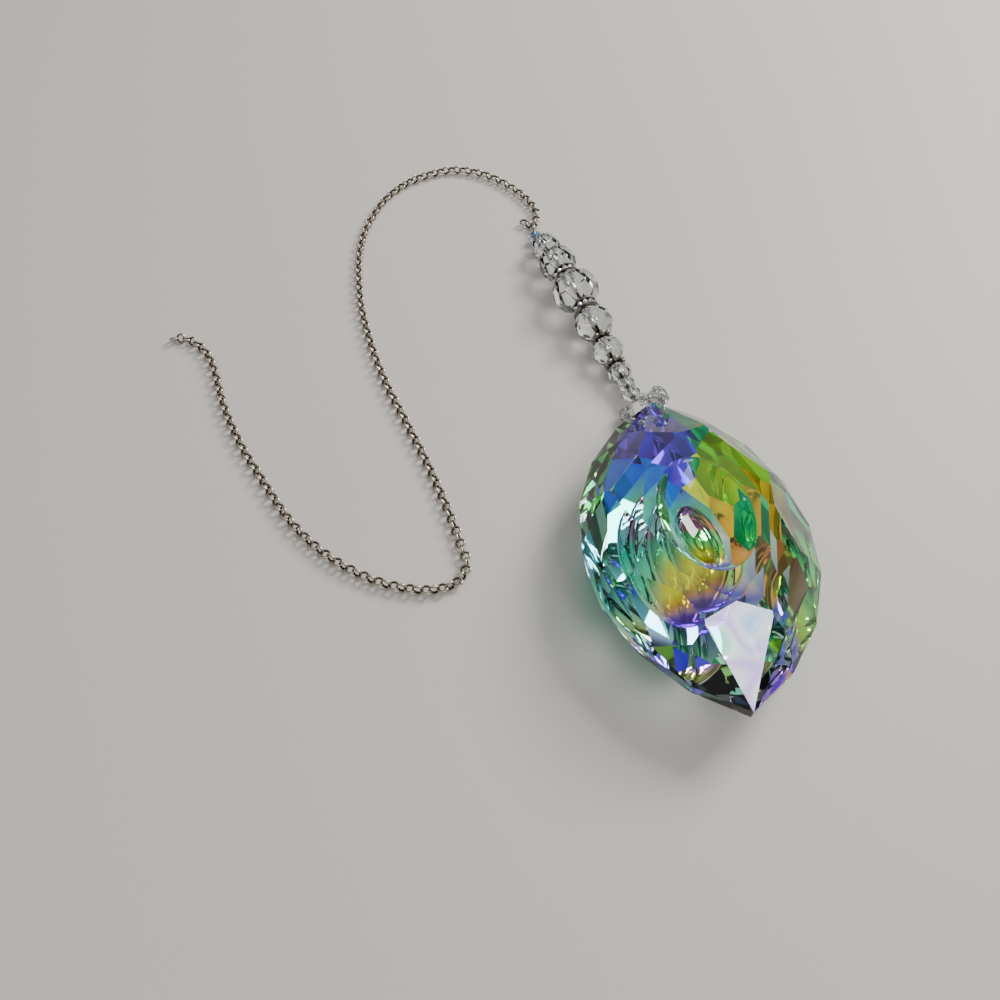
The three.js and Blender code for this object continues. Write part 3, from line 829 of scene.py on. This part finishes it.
def pressed_rondelle(name):
    diameter, length = RONDELLE
    rim, half, band, lip = diameter / 2, length / 2, diameter / 2 - BAND_DEPTH, LIP
    bm = bmesh.new()
    outline = [
        (SPACER_HOLE, -half), (rim - lip, -half), (rim, lip - half),
        (rim, FLANGE - lip / 2 - half),
        (rim - lip, FLANGE - half), (band, FLANGE - half), (band, half - FLANGE),
        (rim - lip, half - FLANGE), (rim, half - FLANGE + lip / 2), (rim, half - lip),
        (rim - lip, half), (SPACER_HOLE, half),
    ]
    spun(bm, outline, 48)
    bmesh.ops.recalc_face_normals(bm, faces=bm.faces)
    paint_wear_and_shade(bm, lambda co: 0.6 * (math.hypot(co.x, co.y) - band) / (rim - band))
    place = threaded_place(name, STEM)
    finish_piece("pressed_" + name, bm, [ANTIQUE_SILVER], [name], place)
    stones = bmesh.new()
    for i in range(STONES):
        turn = Matrix.Rotation(i * 2 * math.pi / STONES, 4, "Z")
        seat = Matrix.Translation((band + STONE_SEAT, 0, 0)) @ Matrix.Rotation(math.pi / 2, 4, "Y")
        bmesh.ops.create_cone(
            stones, cap_ends=True, segments=8, radius1=STONE_BACK, radius2=STONE_FACE,
            depth=STONE_DEPTH, matrix=turn @ seat,
        )
    bmesh.ops.recalc_face_normals(stones, faces=stones.faces)
    finish_piece("stones_of_" + name, stones, [STONE], (), place)


for name in ("rhinestone_rondelle_upper", "rhinestone_rondelle_lower"):
    pressed_rondelle(name)
print("two rondelles of", STONES, "stones")


# %% [markdown]
# ## The wire
#
# The wire is drawn soft nickel, 0.6 mm thick, bent by hand with round-nosed pliers. A curve with a
# round bevel is the natural way to draw it. It is turned into a mesh, because every piece here
# keeps its place in its mesh.

# %% The beading wire
def tube_along(name, walk, diameter):
    """A round wire along close-set points, as mesh data with closed ends."""
    data = bpy.data.curves.new(name, "CURVE")
    data.dimensions = "3D"
    data.bevel_depth = diameter / 2
    data.bevel_resolution = 3
    data.use_fill_caps = True
    spline = data.splines.new("POLY")
    walk = walk[::5] + [walk[-1]]
    spline.points.add(len(walk) - 1)
    for point, place in zip(spline.points, walk):
        point.co = (*place, 1)
    rod = bpy.data.objects.new(name, data)
    bpy.context.scene.collection.objects.link(rod)
    bent = rod.evaluated_get(bpy.context.evaluated_depsgraph_get())
    mesh = bpy.data.meshes.new_from_object(bent)
    bpy.data.objects.remove(rod)
    return mesh


def bent_wire():
    bm = bmesh.new()
    for label, walk in (("stem", STEM), ("over", OVER), ("under", UNDER)):
        bm.from_mesh(tube_along("wire_" + label, walk, WIRE_DIAMETER))
    eye_walk = [
        EYE_PLACE + Vector((0, math.cos(turn), math.sin(turn))) * EYE_DIAMETER / 2
        for turn in [math.radians(5 * step - 175) for step in range(71)]
    ]
    bm.from_mesh(tube_along("wire_eye", eye_walk, WIRE_DIAMETER))
    bmesh.ops.remove_doubles(bm, verts=bm.verts, dist=1e-4)
    bmesh.ops.recalc_face_normals(bm, faces=bm.faces)
    for face in bm.faces:
        face.smooth = True
    return finish_piece("bent_wire", bm, [NICKEL_WIRE], ["beading_wire"])


wire = bent_wire()
print("the wire has", len(wire.data.polygons), "faces")


# %% [markdown]
# ## The chain
#
# A rolo chain is round links of round wire, each a quarter turn from the next. Lying on a table,
# the whole chain rolls a little to one side. One link is a small section spun into a ring, and it
# is copied along the route. There are nearly two hundred, so a link has only fifty faces and
# smooth shading rounds them. Its wire is drawn thicker than the solids' so that the chain reads as
# dark as a real one, and neighbouring links run a little into each other because of that.
# The inner side of each link is darker: patina that gathers there, and painted shade where the
# links close round each other. This is painted onto the first link.

# %% The chain's sizes and route
LINK_DIAMETER, LINK_WIRE, LINK_PITCH = 2.72, 0.6, 1.74
LINK_RING = (LINK_DIAMETER - LINK_WIRE) / 2
LINK_CLEARANCE = 0.02  # above the table
ROUTE_STEPS = 800
FASTENED_LINK_HEADING = 74
SPARE_HEADINGS = (152, 144)
CHAIN_ROUTE = [
    (20.85, 62.1), (21.7, 68.1), (19.9, 73.3), (16.4, 78.6), (12.5, 82.6), (7.9, 86.2), (1.8, 88.9),
    (-4.4, 89.5), (-10.4, 87.4), (-16.2, 83.8), (-20.4, 79.4), (-23.7, 74.2), (-26.1, 68.1),
    (-27.9, 61.0), (-28.6, 53.2), (-28.4, 45.3), (-26.4, 29.8), (-22.8, 15.8), (-17.9, 1.6),
    (-11.2, -13.2), (-5.4, -26.2), (-0.6, -38.6), (2.4, -47.6), (3.8, -52.7), (2.4, -56.6),
    (-2.8, -58.9), (-12.4, -57.8), (-21.3, -53.9), (-29.0, -48.4), (-36.2, -40.8), (-43.6, -30.0),
    (-50.9, -18.6), (-56.9, -6.7), (-62.0, 6.6), (-64.7, 11.4), (-68.2, 14.9), (-71.5, 16.4),
    (-74.0, 16.3),
]
# How far the chain has rolled to one side, in degrees, at millimetres along it.
CHAIN_ROLLS = [(0, 0), (58, 6), (78, 45), (178, 45), (200, 8), (236, 8), (262, 45), (330, 38)]


# %% Where each link lies
def link_places():
    """A turning and a place for each link, a pitch from the one before it."""
    walk = curve_through([(x, y, 0) for x, y in CHAIN_ROUTE], ROUTE_STEPS)
    centres = [walk[0]]
    for point in walk:
        if (point - centres[-1]).length >= LINK_PITCH:
            centres.append(point)
    links = []
    for i, centre in enumerate(centres):
        roll = value_along(CHAIN_ROLLS, i * LINK_PITCH)
        ahead = centres[min(i + 1, len(centres) - 1)] - centres[max(i - 1, 0)]
        heading = math.atan2(ahead.y, ahead.x) if i else math.radians(FASTENED_LINK_HEADING)
        lift = LINK_WIRE / 2 + LINK_RING * math.cos(math.radians(roll)) + LINK_CLEARANCE
        rolled = roll if i % 2 == 0 else roll - 90
        links.append((Vector((centre.x, centre.y, lift)), heading, rolled))
    centre = links[0][0]
    for i, heading in enumerate(SPARE_HEADINGS):
        turn = math.radians(heading)
        centre = centre + Vector((math.cos(turn), math.sin(turn), 0)) * LINK_PITCH
        links.append((centre, turn, 90 if i % 2 == 0 else 0))
    return [
        Matrix.Translation(place)
        @ Matrix.Rotation(heading, 4, "Z")
        @ Matrix.Rotation(math.radians(roll), 4, "X")
        for place, heading, roll in links
    ]


# %% The rolo chain
def rolo_chain():
    bm = bmesh.new()
    section = [
        (LINK_RING + LINK_WIRE / 2 * math.cos(turn), LINK_WIRE / 2 * math.sin(turn))
        for turn in [math.radians(72 * step) for step in range(5)]
    ]
    spun(bm, section, 10)
    bmesh.ops.recalc_face_normals(bm, faces=bm.faces)
    # Painted shade and patina: the inner side of the link is dark, the outer side bright.
    paint_wear_and_shade(bm, lambda co: (math.hypot(co.x, co.y) - LINK_RING) / LINK_WIRE + 0.28)
    for face in bm.faces:
        face.smooth = True
    first = bm.verts[:] + bm.edges[:] + bm.faces[:]
    places = link_places()
    for place in places[1:]:
        copy = bmesh.ops.duplicate(bm, geom=first)["geom"]
        bmesh.ops.transform(bm, matrix=place, verts=only(bmesh.types.BMVert, copy))
    bmesh.ops.transform(bm, matrix=places[0], verts=only(bmesh.types.BMVert, first))
    print(f"the chain has {len(places)} links and {len(bm.faces)} faces")
    metals = [SHADED_ANTIQUE_NICKEL]
    finish_piece("antique_rolo_chain", bm, metals, ["rolo_chain"])


rolo_chain()


# %% [markdown]
# ## The table and the light
#
# Cut glass shows whatever stands round it. A soft light high behind the piece gives the facets
# clean reflections, a weak one in front lifts the shadows, and the world goes from dark at the
# horizon to bright overhead, so neighbouring facets mirror light and dark in turn.

# %% Floor, light and the world
FLOOR_SIZE, FLOOR_GAP = 2.0, 0.00005  # metres; the gap keeps the floor just under the pieces


def pale_floor():
    material = new_material("pale_table", Base_Color=(*linear("#c2bcb4"), 1), Roughness=0.6)[0]
    bm = bmesh.new()
    drop = Matrix.Translation((0, 0, -FLOOR_GAP))
    bmesh.ops.create_grid(bm, x_segments=1, y_segments=1, size=FLOOR_SIZE, matrix=drop)
    mesh = bpy.data.meshes.new("table_top")
    bm.to_mesh(mesh)
    bm.free()
    mesh.materials.append(material)
    floor = bpy.data.objects.new("table_top", mesh)
    bpy.context.scene.collection.objects.link(floor)


def softbox(name, place, size, watts):
    light = bpy.data.lights.new(name, "AREA")
    light.shape = "RECTANGLE"
    light.size, light.size_y = size
    light.energy = watts
    lamp = bpy.data.objects.new(name, light)
    lamp.location = place
    lamp.rotation_euler = (-Vector(place)).to_track_quat("-Z", "Y").to_euler()
    bpy.context.scene.collection.objects.link(lamp)


def studio_world():
    world = bpy.data.worlds.new("studio")
    world.use_nodes = True
    bpy.context.scene.world = world
    tree = world.node_tree
    background = tree.nodes["Background"]
    place = add_node(tree, "ShaderNodeTexCoord").outputs["Generated"]
    height = add_node(tree, "ShaderNodeSeparateXYZ", {"Vector": place}).outputs["Z"]
    sky = add_node(tree, "ShaderNodeValToRGB", {"Fac": height})
    set_ramp(sky, [(0.0, "#3a3b3e"), (0.3, "#6a6b6e"), (0.6, "#a9abae"), (1.0, "#eaecee")])
    tree.links.new(sky.outputs["Color"], background.inputs["Color"])
    background.inputs["Strength"].default_value = 1.05


pale_floor()
studio_world()
softbox("key", (0.62, 0.5, 0.62), (0.42, 0.42), 13)
softbox("window", (0.42, -0.5, 0.82), (0.34, 0.34), 1.8)
print("the floor, the world and two softboxes are in place")
